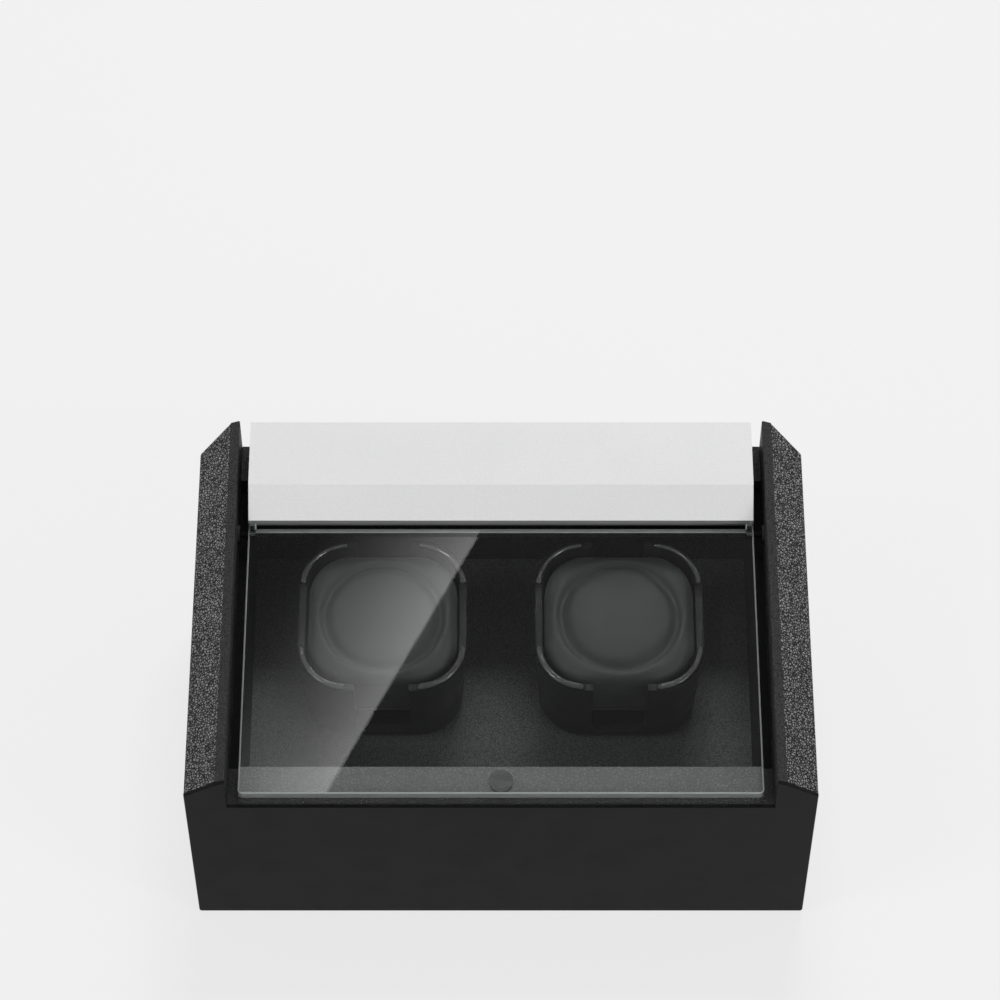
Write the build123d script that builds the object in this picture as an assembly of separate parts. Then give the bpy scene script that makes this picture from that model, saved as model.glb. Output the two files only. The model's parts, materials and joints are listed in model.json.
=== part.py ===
from build123d import *
import math
import os

# Double watch winder: a leather-covered case with a sloped glass lid, an aluminium bar
# over the hinge and two turning cups that each hold a watch cushion.
# All sizes are millimetres. While a piece is made, y = 0 is the case's front face and
# z = 0 the surface it stands on. Every piece is moved at the end, so that the origin is
# the middle of the footprint.

# Case
case_width = 270.0
case_depth = 179.0
front_edge_height = 99.4
slope_deg = 5.7
foot_height = 1.0
bottom_thickness = 6.0
front_wall_thickness = 16.8
back_wall_thickness = 18.0
fascia_thickness = 1.5
fascia_corner_radius = 1.2
fascia_rim_chamfer = 0.3
board_thickness = 4.2
pad_thickness = 13.8
pad_rise = 8.9
pad_back_inset = 10.0
pad_edge_radius = 1.6
board_rise = 1.6
board_edge_radius = 0.6

# Levels, measured square to the slope from the lower front edge of the case
ledge_drop = 9.3
lid_gap = 2.3
deck_level = 26.9
deck_thickness = 3.0
liner_drop = 5.7
liner_thickness = 4.0

# Glass lid
lid_side_gap = 4.8
lid_front = 12.3
glass_thickness = 5.0
glass_corner_radius = 2.0
glass_arris = 0.45
ear_width = 3.2
ear_length = 3.5
pivot_inset = 1.6
pin_radius = 1.25
pin_in_glass = 3.0
pin_in_bush = 3.6
pin_clearance = 0.05
bush_radius = 3.0
bush_flange_radius = 4.2
bush_flange = 1.0
strike_radius = 5.25
strike_thickness = 1.2
strike_bevel = 0.3
strike_inset = 7.4
magnet_radius = 5.0
magnet_depth = 3.0
magnet_gap = 0.1
magnet_bevel = 0.4

# Aluminium bar over the hinge, its levels measured up from the ledge
bar_depth = 46.65
bar_lip_gap = 1.7
bar_lip_rise = 11.6
bar_bevel_run = 14.3
bar_top_rise = 18.8
bar_back_setback = 0.5
bar_skin = 1.5
bar_corner_radius = 0.4
bar_over_glass = 0.4
bar_heel_setback = 4.2

# Turning cups, measured along each cup's own axis from its base
cup_spacing = 105.0
cup_setback = 35.1
cup_width = 74.5
cup_corner = 22.0
cup_base_width = 70.3
cup_base_corner = 20.0
cup_depth = 50.0
cup_wall = 3.0
cup_floor = 4.0
cup_foot_radius = 3.0
cup_inside_radius = 2.0
cup_over_deck = 2.0
side_dip_width = 34.0
side_dip_depth = 2.4
strap_slot_width = 24.0
strap_slot_sill = 7.0
strap_slot_radius = 4.0
seat_height = 12.0
seat_width = 30.0
seat_depth = 7.0
seat_corner_radius = 2.0
boss_radius = 8.0
boss_height = 4.0
ridge_radius = 1.75
ridge_sweep_deg = 78.0

# Cushions
cushion_side_gap = 0.8
cushion_end_gap = 1.7
cushion_seat_gap = 0.1
cushion_rise = 2.0
cushion_waist = 1.0
cushion_base_inset = 3.5
cushion_edge_radius = 4.0
crown_radius = 260.0
seam_radius = 26.0
seam_depth = 0.6

# Drive under the deck
shaft_radius = 3.0
shaft_running_gap = 0.03
shaft_below_deck = 10.5
thrust_gap = 0.1
deck_bush_radius = 6.0
deck_bush_flange_radius = 9.0
deck_bush_flange = 1.2
deck_bush_below = 1.0
gear_module = 0.8
gear_teeth = 45
pinion_teeth = 15
gear_backlash = 0.12
gear_thickness = 4.0
gear_below_bush = 0.4
gear_hub_radius = 6.0
gear_hub_length = 2.0
gear_web_thickness = 2.0
gear_rim = 2.8
gear_boss_wall = 1.0
clip_radius = 5.0
clip_thickness = 0.8
clip_groove = 0.6
clip_mouth = 4.2
shaft_bevel = 0.5
motor_radius = 12.0
motor_length = 13.5
gearbox_length = 5.4
can_radius = 10.2
motor_edge = 1.0
motor_shaft_radius = 1.5
motor_shaft_gap = 0.05
motor_shaft_end_gap = 0.2
motor_shaft_in_motor = 6.0
bracket_thickness = 1.5
bracket_below_gear = 1.0
bracket_leg_gap = 2.4
bracket_width = 22.0
bracket_foot = 8.0
bracket_hole_gap = 1.5

# Controls in the back wall
recess_width = 96.0
recess_height = 20.0
recess_corner = 6.0
recess_depth = 8.0
recess_web = 3.0
control_height = 22.0
pocket_margin = 1.5
board_overlap = 1.5
board_plate_thickness = 1.6
jack_place = -36.0
switch_place = -10.0
knob_places = (16.0, 38.0)
jack_radius = 5.5
jack_flange_radius = 7.5
jack_bore_radius = 2.75
jack_bore_depth = 9.0
jack_pin_radius = 1.0
switch_length = 18.0
switch_height = 12.0
switch_bezel = 1.5
switch_wall = 1.5
switch_well = 5.5
rocker_angle_deg = 8.0
rocker_gap = 0.3
rocker_rise = 4.0
rocker_dish = 30.0
rocker_dish_depth = 0.7
rocker_pivot_radius = 1.0
rocker_pivot_gap = 0.1
rocker_pivot_depth = 1.0
control_flange = 1.5
knob_radius = 7.0
knob_length = 5.5
knob_grooves = 12
knob_groove_radius = 1.0
knob_groove_out = 0.5
knob_bevel = 0.6
pointer_width = 1.0
pointer_depth = 0.5
knob_stem_radius = 2.5
knob_stem_gap = 0.1
knob_lift = 0.6
selector_size = 9.5
selector_gap = 0.8
selector_grip = 2.5

# Feet
foot_radius = 6.0
foot_inset = 14.0

slope = math.radians(slope_deg)
base_z = foot_height
floor_z = foot_height + bottom_thickness
half_width = case_width / 2
pad_inner = half_width - pad_thickness
board_inner = pad_inner - board_thickness
front_wall_back = fascia_thickness + front_wall_thickness
back_wall_front = case_depth - back_wall_thickness
outer_level = front_edge_height * math.cos(slope)
crease_level = outer_level + pad_rise
board_level = crease_level + board_rise
ledge_level = outer_level - ledge_drop
liner_level = ledge_level - liner_drop
glass_under = ledge_level + lid_gap
bar_lip_level = ledge_level + bar_lip_rise
bar_top_level = ledge_level + bar_top_rise
bar_underside_level = glass_under + glass_thickness + bar_over_glass
bar_back_y = case_depth - bar_back_setback
bar_back_place = (bar_back_y + bar_top_level * math.sin(slope)) / math.cos(slope)
bar_lip_place = bar_back_place - bar_depth
bar_crease_place = bar_lip_place + bar_bevel_run
bar_heel_place = bar_lip_place + bar_heel_setback
lid_width = 2 * (board_inner - lid_side_gap)
lid_back = bar_lip_place - bar_lip_gap
lid_length = lid_back - lid_front
pivot_place = lid_back - pivot_inset
pivot_level = glass_under + glass_thickness / 2
strike_place = lid_front + strike_inset
cup_place = lid_back - cup_setback
cup_base_level = deck_level + cup_over_deck
cushion_top = cup_depth + cushion_rise
gear_top = deck_level - deck_thickness - deck_bush_below - gear_below_bush
gear_bottom = gear_top - gear_thickness
gear_distance = gear_module * (gear_teeth + pinion_teeth) / 2
bracket_top = gear_bottom - bracket_below_gear
motor_top = bracket_top - bracket_thickness
web_back = case_depth - recess_depth
web_front = web_back - recess_web
rocker_pivot_y = web_back - rocker_pivot_depth


# Height above the ground of a level of the slope, at a distance behind the front face
def height_at(y, level):
    return base_z + level / math.cos(slope) + y * math.tan(slope)


# Distance behind the front face, and height, of a point given along and square to the slope
def off_slope(place, level):
    y = place * math.cos(slope) - level * math.sin(slope)
    z = base_z + place * math.sin(slope) + level * math.cos(slope)
    return y, z


# Place along the slope of the point at a level that is a distance behind the front face
def place_at(y, level):
    return (y + level * math.sin(slope)) / math.cos(slope)


# A plane with x along the case, y up the slope and z square to it
slope_plane = Plane(
    origin=(0, 0, base_z), x_dir=(1, 0, 0), z_dir=(0, -math.sin(slope), math.cos(slope))
)


def on_slope(piece, x=0.0, place=0.0, level=0.0):
    return slope_plane.location * Pos(x, place, level) * piece


# A prism along x whose outline is given as (y, z) points
def prism(outline, x_from, x_to):
    face = Plane.YZ.offset(x_from) * Polygon(*outline, align=None)
    return extrude(face, amount=x_to - x_from, dir=(1, 0, 0))


# The same, with the outline given as (place, level) points on the slope
def slope_prism(outline, x_from, x_to):
    return prism([off_slope(place, level) for place, level in outline], x_from, x_to)


def cylinder_up(radius, height):
    return Cylinder(radius, height, align=(Align.CENTER, Align.CENTER, Align.MIN))


def box_up(length, width, height):
    return Box(length, width, height, align=(Align.CENTER, Align.CENTER, Align.MIN))


# A cylinder along x that starts at x_from
def cylinder_along_x(radius, x_from, x_to, y, z):
    rod = cylinder_up(radius, abs(x_to - x_from))
    return Pos(min(x_from, x_to), y, z) * Rot(0, 90, 0) * rod


# A cylinder along y that starts at y_from
def cylinder_along_y(radius, x, y_from, y_to, z):
    rod = cylinder_up(radius, y_to - y_from)
    return Pos(x, y_from, z) * Rot(-90, 0, 0) * rod


# Outline of one side of the case at a level of its top edge and a depth of its back edge
def side_outline(level, back):
    return [
        (fascia_thickness, base_z),
        (back, base_z),
        (back, height_at(back, level)),
        (fascia_thickness, height_at(fascia_thickness, level)),
    ]


def side_layer(x_outer, level_outer, back_outer, x_inner, level_inner, back_inner):
    outer = Plane.YZ.offset(x_outer) * Polygon(*side_outline(level_outer, back_outer), align=None)
    inner = Plane.YZ.offset(x_inner) * Polygon(*side_outline(level_inner, back_inner), align=None)
    return loft([inner.face(), outer.face()], ruled=True)


# Edges of a side layer that run along its bevelled top and back, and the mitre between them
def bevel_edges(layer, x_plane):
    chosen = []
    for edge in layer.edges():
        low = edge.bounding_box().min
        high = edge.bounding_box().max
        on_plane = abs(low.X - x_plane) < 0.01 and abs(high.X - x_plane) < 0.01
        mitre = high.X - low.X > 1 and low.Z > floor_z and low.Y > case_depth / 2
        at_front = high.Y < fascia_thickness + 0.01
        at_bottom = high.Z < base_z + 0.01
        if (on_plane or mitre) and not at_front and not at_bottom:
            chosen.append(edge)
    return chosen


# The grained pad on the outside, bevelled along its top and back edges
def make_side_pad():
    back = case_depth - pad_back_inset
    pad = side_layer(half_width, outer_level, back, pad_inner, crease_level, case_depth)
    return fillet(bevel_edges(pad, half_width), pad_edge_radius)


# The smooth board inside the pad, which carries the lid's pivot bush
def make_side_board():
    board = side_layer(pad_inner, crease_level, case_depth, board_inner, board_level, case_depth)
    board = fillet(bevel_edges(board, board_inner), board_edge_radius)
    pivot_y, pivot_z = off_slope(pivot_place, pivot_level)
    return board - cylinder_along_x(bush_radius, board_inner, pad_inner, pivot_y, pivot_z)


# The one-piece front sheet, cut to the outline of the case's front
def make_fascia():
    ledge_z = height_at(0, ledge_level)
    right = [
        (half_width, base_z),
        (half_width, height_at(0, outer_level)),
        (pad_inner, height_at(0, crease_level)),
        (board_inner, height_at(0, board_level)),
        (board_inner, ledge_z),
    ]
    left = [(-x, z) for x, z in reversed(right)]
    face = Plane.XZ * Polygon(*(right + left), align=None)
    sheet = extrude(face, amount=-fascia_thickness)
    corners = sheet.edges().filter_by(Axis.Y).group_by(Axis.Z)[0]
    sheet = fillet(corners, fascia_corner_radius)
    front_rim = sheet.faces().sort_by(Axis.Y)[0].edges()
    return chamfer(front_rim, fascia_rim_chamfer)


def make_front_wall():
    wall = prism(
        [
            (fascia_thickness, floor_z),
            (front_wall_back, floor_z),
            (front_wall_back, height_at(front_wall_back, ledge_level)),
            (fascia_thickness, height_at(fascia_thickness, ledge_level)),
        ],
        -board_inner,
        board_inner,
    )
    hole = cylinder_up(magnet_radius, magnet_depth)
    pocket = on_slope(hole, 0, strike_place, ledge_level - magnet_depth)
    return wall - pocket


# The back wall, with one rounded recess outside for the controls and a pocket behind them
def make_back_wall():
    wall = prism(
        [
            (back_wall_front, floor_z),
            (case_depth, floor_z),
            (case_depth, height_at(case_depth, ledge_level)),
            (back_wall_front, height_at(back_wall_front, ledge_level)),
        ],
        -board_inner,
        board_inner,
    )
    recess_face = RectangleRounded(recess_width, recess_height, recess_corner)
    outside = Plane.XZ.offset(-case_depth)
    recess = extrude(outside * Pos(0, control_height) * recess_face, amount=recess_depth)
    pocket = Pos(0, (back_wall_front + web_front) / 2, control_height) * Box(
        recess_width + 2 * pocket_margin, web_front - back_wall_front, recess_height + 2 * pocket_margin
    )
    wall = wall - recess - pocket
    wall = wall - cylinder_along_y(jack_radius, jack_place, web_front, web_back, control_height)
    wall = wall - Pos(switch_place, (web_front + web_back) / 2, control_height) * Box(
        switch_length, recess_web, switch_height
    )
    for x in knob_places:
        hole = knob_stem_radius + knob_stem_gap
        wall = wall - cylinder_along_y(hole, x, web_front, web_back, control_height)
    return wall


def make_bottom():
    length = case_depth - fascia_thickness
    board = box_up(2 * board_inner, length, bottom_thickness)
    return Pos(0, fascia_thickness + length / 2, base_z) * board


def make_feet():
    x = half_width - pad_thickness - foot_inset
    places = [(side * x, y) for side in (-1, 1) for y in (foot_inset, case_depth - foot_inset)]
    return [Pos(x, y, 0) * cylinder_up(foot_radius, foot_height) for x, y in places]


# The smooth lining of one side, standing on the deck
def make_liner():
    outline = [
        (front_wall_back, height_at(front_wall_back, deck_level)),
        (back_wall_front, height_at(back_wall_front, deck_level)),
        (back_wall_front, height_at(back_wall_front, liner_level)),
        (front_wall_back, height_at(front_wall_back, liner_level)),
    ]
    return prism(outline, board_inner - liner_thickness, board_inner)


# The sloped deck that carries both drives
def make_deck():
    under = deck_level - deck_thickness
    outline = [
        (front_wall_back, height_at(front_wall_back, under)),
        (back_wall_front, height_at(back_wall_front, under)),
        (back_wall_front, height_at(back_wall_front, deck_level)),
        (front_wall_back, height_at(front_wall_back, deck_level)),
    ]
    deck = prism(outline, -board_inner, board_inner)
    for x in (-cup_spacing / 2, cup_spacing / 2):
        deck = deck - on_slope(cylinder_up(deck_bush_radius, deck_thickness), x, cup_place, under)
    return deck


# An open chain of (place, level) points moved sideways by a wall's thickness
def inset_chain(points, thickness):
    lines = []
    for start, end in zip(points, points[1:]):
        run = (end[0] - start[0], end[1] - start[1])
        size = math.hypot(*run)
        normal = (run[1] / size, -run[0] / size)
        lines.append(((start[0] + normal[0] * thickness, start[1] + normal[1] * thickness), run))
    moved = [lines[0][0]]
    for (first, run_a), (second, run_b) in zip(lines, lines[1:]):
        cross = run_a[0] * run_b[1] - run_a[1] * run_b[0]
        share = ((second[0] - first[0]) * run_b[1] - (second[1] - first[1]) * run_b[0]) / cross
        moved.append((first[0] + run_a[0] * share, first[1] + run_a[1] * share))
    last, run = lines[-1]
    moved.append((last[0] + run[0], last[1] + run[1]))
    return moved


bar_outer = [
    (bar_lip_place, bar_lip_level),
    (bar_crease_place, bar_top_level),
    (bar_back_place, bar_top_level),
    (place_at(bar_back_y, ledge_level), ledge_level),
]
bar_inner = inset_chain(bar_outer, bar_skin)
bar_under = [
    (bar_heel_place, ledge_level),
    (bar_heel_place, bar_underside_level),
    (bar_inner[0][0], bar_underside_level),
]


# The folded aluminium cover: front bevel, top, back and two closed ends
def make_bar_cover():
    half = lid_width / 2
    skin = slope_prism(bar_outer + list(reversed(bar_inner)), -half, half)
    end_outline = bar_outer + bar_under
    left_end = slope_prism(end_outline, -half, -half + bar_skin)
    right_end = slope_prism(end_outline, half - bar_skin, half)
    cover = skin + left_end + right_end
    crease_y, crease_z = off_slope(bar_crease_place, bar_top_level)
    lip_corners = [
        edge for edge in cover.edges()
        if abs(abs(edge.center().X) - half) < 0.01 and edge.bounding_box().max.Y < crease_y + 0.01
        and edge.bounding_box().max.Z > crease_z - 0.01
    ]
    return fillet(lip_corners, bar_corner_radius)


# The dark filler that the cover is folded over, which rests on the back wall
def make_bar_core():
    half = lid_width / 2 - bar_skin
    return slope_prism(bar_inner + bar_under, -half, half)


# The glass pane, with an ear at each back corner and polished edges
def make_glass():
    pane = Pos(0, lid_front + lid_length / 2) * Rectangle(lid_width, lid_length)
    for side in (-1, 1):
        pane = pane + Pos(side * (lid_width - ear_width) / 2, lid_back + ear_length / 2) * Rectangle(
            ear_width, ear_length
        )
    front_corners = pane.vertices().group_by(Axis.Y)[0]
    pane = fillet(front_corners, glass_corner_radius)
    glass = extrude(pane, amount=glass_thickness)
    rims = [edge for edge in glass.edges() if abs(edge.tangent_at(0.5).Z) < 0.01]
    glass = chamfer(rims, glass_arris)
    for side in (-1, 1):
        x_edge = side * lid_width / 2
        hole_end = x_edge - side * pin_in_glass
        hole = cylinder_along_x(pin_radius, hole_end, x_edge, pivot_place, glass_thickness / 2)
        glass = glass - hole
    return on_slope(glass, level=glass_under)


def make_pivot_pins():
    pins = []
    for side in (-1, 1):
        x_edge = side * lid_width / 2
        x_end = side * (board_inner + pin_in_bush)
        pin = cylinder_along_x(pin_radius, x_edge - side * pin_in_glass, x_end, pivot_place, pivot_level)
        pins.append(on_slope(pin))
    return pins


# A flanged bush in one side board, closed at its outer end by the pad
def make_pivot_bush():
    barrel = cylinder_along_x(bush_radius, board_inner, pad_inner, pivot_place, pivot_level)
    flange_face = board_inner - bush_flange
    flange = cylinder_along_x(bush_flange_radius, flange_face, board_inner, pivot_place, pivot_level)
    bore_end = board_inner + pin_in_bush + pin_clearance
    bore = cylinder_along_x(
        pin_radius + pin_clearance, flange_face, bore_end, pivot_place, pivot_level
    )
    return on_slope(barrel + flange - bore)


def make_strike():
    disc = cylinder_up(strike_radius, strike_thickness)
    disc = chamfer(disc.edges().group_by(Axis.Z)[0], strike_bevel)
    return on_slope(disc, 0, strike_place, glass_under - strike_thickness)


def make_magnet():
    height = magnet_depth + lid_gap - strike_thickness - magnet_gap
    magnet = cylinder_up(magnet_radius, height)
    magnet = chamfer(magnet.edges().group_by(Axis.Z)[-1], magnet_bevel)
    return on_slope(magnet, 0, strike_place, ledge_level - magnet_depth)


# Solid between two rounded squares, one at each height
def rounded_taper(width_low, corner_low, low, width_high, corner_high, high):
    bottom = Pos(0, 0, low) * RectangleRounded(width_low, width_low, corner_low)
    top = Pos(0, 0, high) * RectangleRounded(width_high, width_high, corner_high)
    return loft([bottom.face(), top.face()], ruled=True)


# Cup width at a height above its base
def cup_width_at(height):
    return cup_base_width + (cup_width - cup_base_width) * height / cup_depth


def cup_corner_at(height):
    return cup_base_corner + (cup_corner - cup_base_corner) * height / cup_depth


# A bar through the cup with rounded lower corners: it cuts a strap slot or a dip in the rim
def rim_cutter(width, sill, radius):
    height = cup_depth - sill
    profile = Pos(0, sill + height) * Rectangle(width, 2 * height)
    profile = fillet(profile.vertices().group_by(Axis.Y)[0], radius)
    return extrude(Plane.XZ.offset(-0.6 * cup_width) * profile, amount=0.3 * cup_width)


# The moulded cup: drafted walls, strap slots front and back, dips at the sides,
# seats for the cushion and a boss for the shaft
def make_cup():
    cup = rounded_taper(cup_base_width, cup_base_corner, 0, cup_width, cup_corner, cup_depth)
    cup = fillet(cup.edges().group_by(Axis.Z)[0], cup_foot_radius)
    inner_low = cup_width_at(cup_floor) - 2 * cup_wall
    inner_top = cup_width - 2 * cup_wall
    inner_corner = cup_corner_at(cup_floor) - cup_wall
    cavity = rounded_taper(
        inner_low, inner_corner, cup_floor, inner_top, cup_corner - cup_wall, cup_depth
    )
    cavity = fillet(cavity.edges().group_by(Axis.Z)[0], cup_inside_radius)
    cup = cup - cavity
    slot = rim_cutter(strap_slot_width, strap_slot_sill, strap_slot_radius)
    dip = rim_cutter(side_dip_width, cup_depth - side_dip_depth, side_dip_depth * 0.9)
    for turn in (0, 180):
        cup = cup - Rot(0, 0, turn) * slot - Rot(0, 0, turn + 90) * dip
    reach = inner_low / 2 + cup_wall / 2
    seat = box_up(seat_depth, seat_width, seat_height - cup_floor)
    seat = fillet(seat.edges().filter_by(Axis.Z).group_by(Axis.X)[0], seat_corner_radius)
    seat = Pos(reach - seat_depth / 2, 0, cup_floor) * seat
    cup = cup + seat + Rot(0, 0, 180) * seat
    cup = cup + Pos(0, 0, cup_floor) * cylinder_up(boss_radius, boss_height)
    foot_drop = cup_over_deck - deck_bush_flange - thrust_gap
    cup = cup + Pos(0, 0, -foot_drop) * cylinder_up(boss_radius, foot_drop)
    shaft_hole = Pos(0, 0, -foot_drop) * cylinder_up(shaft_radius, foot_drop + cup_floor + boss_height)
    return cup - shaft_hole


# The four raised glossy ridges round the corners of the rim
def make_ridges():
    ridges = []
    centre = cup_width / 2 - cup_corner
    mid_radius = cup_corner - cup_wall / 2
    for turn in (0, 90, 180, 270):
        section = Plane.XZ * Pos(mid_radius, 0) * Circle(ridge_radius)
        arc = revolve(section, Axis.Z, revolution_arc=ridge_sweep_deg)
        arc = Rot(0, 0, 45 - ridge_sweep_deg / 2) * arc
        for end in (-1, 1):
            angle = 45 + end * ridge_sweep_deg / 2
            tip = Rot(0, 0, angle) * Pos(mid_radius, 0, 0) * Sphere(ridge_radius)
            arc = arc + tip
        ridge = Pos(centre, centre, 0) * arc - Pos(0, 0, -ridge_radius) * box_up(
            2 * cup_width, 2 * cup_width, ridge_radius
        )
        ridges.append(Rot(0, 0, turn) * Pos(0, 0, cup_depth) * ridge)
    return ridges


# The cushion: drawn-in sides, a crowned top with a soft edge and a sewn round seam
def make_cushion():
    bottom = seat_height + cushion_seat_gap
    height = cushion_top - bottom
    sections = [
        (0.0, cushion_base_inset),
        (0.2, 0.0),
        (0.55, cushion_waist),
        (0.85, 0.0),
        (1.0, 0.3),
    ]
    faces = []
    for share, inset in sections:
        level = bottom + share * height
        room = cup_width_at(min(level, cup_depth)) - 2 * cup_wall - 2 * inset
        corner = cup_corner_at(min(level, cup_depth)) - cup_wall - inset
        outline = RectangleRounded(room - 2 * cushion_side_gap, room - 2 * cushion_end_gap, corner)
        faces.append((Pos(0, 0, level) * outline).face())
    cushion = loft(faces)
    crown = Pos(0, 0, cushion_top - crown_radius) * Sphere(crown_radius)
    cushion = cushion & crown
    top_edges = cushion.faces().sort_by(Axis.Z)[-1].edges()
    cushion = fillet(top_edges, cushion_edge_radius)
    groove_z = cushion_top - crown_radius + math.sqrt(crown_radius ** 2 - seam_radius ** 2)
    groove = Pos(0, 0, groove_z) * Torus(seam_radius, seam_depth)
    return cushion - groove


# Involute gear outline as a list of points, with one tooth centred on first_angle
def gear_outline(teeth, first_angle):
    pressure = math.radians(20)
    pitch = gear_module * teeth / 2
    base = pitch * math.cos(pressure)
    root = pitch - 1.25 * gear_module
    tip = pitch + gear_module
    half_tooth = math.pi / (2 * teeth) - gear_backlash / (4 * pitch)
    start = max(base, root)
    flank = []
    steps = 3
    for step in range(steps):
        radius = start + (tip - start) * step / (steps - 1)
        roll = math.acos(min(1.0, base / radius))
        angle = half_tooth + (math.tan(pressure) - pressure) - (math.tan(roll) - roll)
        flank.append((radius, angle))
    if base > root:
        flank.insert(0, (root, flank[0][1]))
    points = []
    for tooth in range(teeth):
        middle = first_angle + tooth * 2 * math.pi / teeth
        for radius, angle in flank:
            points.append((radius * math.cos(middle - angle), radius * math.sin(middle - angle)))
        for radius, angle in reversed(flank):
            points.append((radius * math.cos(middle + angle), radius * math.sin(middle + angle)))
    return points


# The driven gear on the cup's shaft: a gap between teeth faces the pinion
def make_gear():
    half_pitch = math.pi / gear_teeth
    outline = gear_outline(gear_teeth, math.pi / 2 + half_pitch)
    gear = extrude(Polygon(*outline, align=None), amount=gear_thickness)
    web_radius = gear_module * gear_teeth / 2 - gear_rim
    sunk = (gear_thickness - gear_web_thickness) / 2
    ring = cylinder_up(web_radius, sunk) - cylinder_up(gear_hub_radius + gear_boss_wall, sunk)
    for low in (0, gear_thickness - sunk):
        gear = gear - Pos(0, 0, low) * ring
    gear = gear + Pos(0, 0, -gear_hub_length) * cylinder_up(gear_hub_radius, gear_hub_length)
    bore = Pos(0, 0, -gear_hub_length) * cylinder_up(shaft_radius, gear_thickness + gear_hub_length)
    return gear - bore


def make_pinion():
    outline = gear_outline(pinion_teeth, -math.pi / 2)
    pinion = extrude(Polygon(*outline, align=None), amount=gear_thickness)
    return pinion - cylinder_up(motor_shaft_radius, gear_thickness)


# The cup's shaft, from the top of the boss down to below the gear
def make_cup_shaft():
    top = cup_base_level + cup_floor + boss_height
    bottom = deck_level - deck_thickness - shaft_below_deck
    shaft = cylinder_up(shaft_radius, top - bottom)
    shaft = chamfer(shaft.edges().group_by(Axis.Z)[0], shaft_bevel)
    groove_level = gear_bottom - gear_hub_length - clip_thickness
    groove = Pos(0, 0, groove_level - bottom) * (
        cylinder_up(clip_radius, clip_thickness) - cylinder_up(shaft_radius - clip_groove, clip_thickness)
    )
    return shaft - groove, bottom


def make_clip():
    ring = cylinder_up(clip_radius, clip_thickness) - cylinder_up(shaft_radius - clip_groove, clip_thickness)
    mouth = Pos(clip_radius, 0, 0) * box_up(2 * clip_radius, clip_mouth, clip_thickness)
    return ring - mouth


def make_deck_bush():
    flange = cylinder_up(deck_bush_flange_radius, deck_bush_flange)
    barrel_length = deck_thickness + deck_bush_below
    barrel = Pos(0, 0, -barrel_length) * cylinder_up(deck_bush_radius, barrel_length)
    bore_length = barrel_length + deck_bush_flange
    bore = Pos(0, 0, -barrel_length) * cylinder_up(shaft_radius + shaft_running_gap, bore_length)
    return flange + barrel - bore


# The gearmotor: a stepped can with a bore for its output shaft
def make_motor():
    can_length = motor_length - gearbox_length
    gearbox = Pos(0, 0, -gearbox_length) * cylinder_up(motor_radius, gearbox_length)
    motor = gearbox + Pos(0, 0, -motor_length) * cylinder_up(can_radius, can_length)
    motor = chamfer(motor.edges().group_by(Axis.Z)[0], motor_edge)
    bore = Pos(0, 0, -motor_shaft_in_motor) * cylinder_up(
        motor_shaft_radius + motor_shaft_gap, motor_shaft_in_motor
    )
    return motor - bore


def make_motor_shaft():
    bottom = motor_top - motor_shaft_in_motor + motor_shaft_end_gap
    return cylinder_up(motor_shaft_radius, gear_top - bottom), bottom


# The folded bracket that hangs the motor under the deck, clear of the gear
def make_bracket():
    leg_x = gear_module * (gear_teeth / 2 + 1) + bracket_leg_gap
    deck_under = deck_level - deck_thickness
    drop = deck_under - motor_top
    plate = box_up(2 * (leg_x + bracket_thickness), bracket_width, bracket_thickness)
    bracket = plate
    for side in (-1, 1):
        leg = box_up(bracket_thickness, bracket_width, drop)
        leg = Pos(side * (leg_x + bracket_thickness / 2), 0, 0) * leg
        foot = box_up(bracket_foot, bracket_width, bracket_thickness)
        foot_x = leg_x + bracket_thickness + bracket_foot / 2
        foot = Pos(side * foot_x, 0, drop - bracket_thickness) * foot
        bracket = bracket + leg + foot
    return bracket - cylinder_up(motor_shaft_radius + bracket_hole_gap, bracket_thickness)


# Barrel power inlet: flange in the recess, body through the web down to the circuit board
def make_jack():
    front = web_back + control_flange
    flange = cylinder_along_y(jack_flange_radius, jack_place, web_back, front, control_height)
    body = cylinder_along_y(jack_radius, jack_place, back_wall_front, web_back, control_height)
    bore_end = front - jack_bore_depth
    bore = cylinder_along_y(jack_bore_radius, jack_place, bore_end, front, control_height)
    pin = cylinder_along_y(jack_pin_radius, jack_place, bore_end, front - control_flange, control_height)
    return flange + body - bore + pin


# Frame of the power switch, with a blind hole above and below for the rocker's pivots
def make_switch_frame():
    length = switch_length + 2 * switch_bezel
    height = switch_height + 2 * switch_bezel
    frame = Box(length, control_flange, height)
    frame = Pos(switch_place, web_back + control_flange / 2, control_height) * frame
    body = Pos(switch_place, (back_wall_front + web_back) / 2, control_height) * Box(
        switch_length, web_back - back_wall_front, switch_height
    )
    well = Pos(switch_place, web_back + control_flange - switch_well / 2, control_height) * Box(
        switch_length - 2 * switch_wall, switch_well, switch_height - 2 * switch_wall
    )
    pivot_hole = Pos(switch_place, rocker_pivot_y, control_height) * Cylinder(
        rocker_pivot_radius + rocker_pivot_gap, switch_height - switch_wall
    )
    return frame + body - well - pivot_hole


# The rocker, tipped to one side, with its two pivots
def make_rocker():
    length = switch_length - 2 * switch_wall - 2 * rocker_gap
    height = switch_height - 2 * switch_wall - 2 * rocker_gap
    blank = box_up(length, height, rocker_rise) & Rot(90, 0, 0) * Cylinder(length / 2, height)
    hollow = Rot(90, 0, 0) * Cylinder(rocker_dish, height)
    hollow = Pos(0, 0, rocker_rise + rocker_dish - rocker_dish_depth) * hollow
    pivot_span = switch_height - switch_wall - 2 * rocker_pivot_gap
    pivots = Rot(90, 0, 0) * Cylinder(rocker_pivot_radius, pivot_span)
    return blank - hollow + pivots


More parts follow.
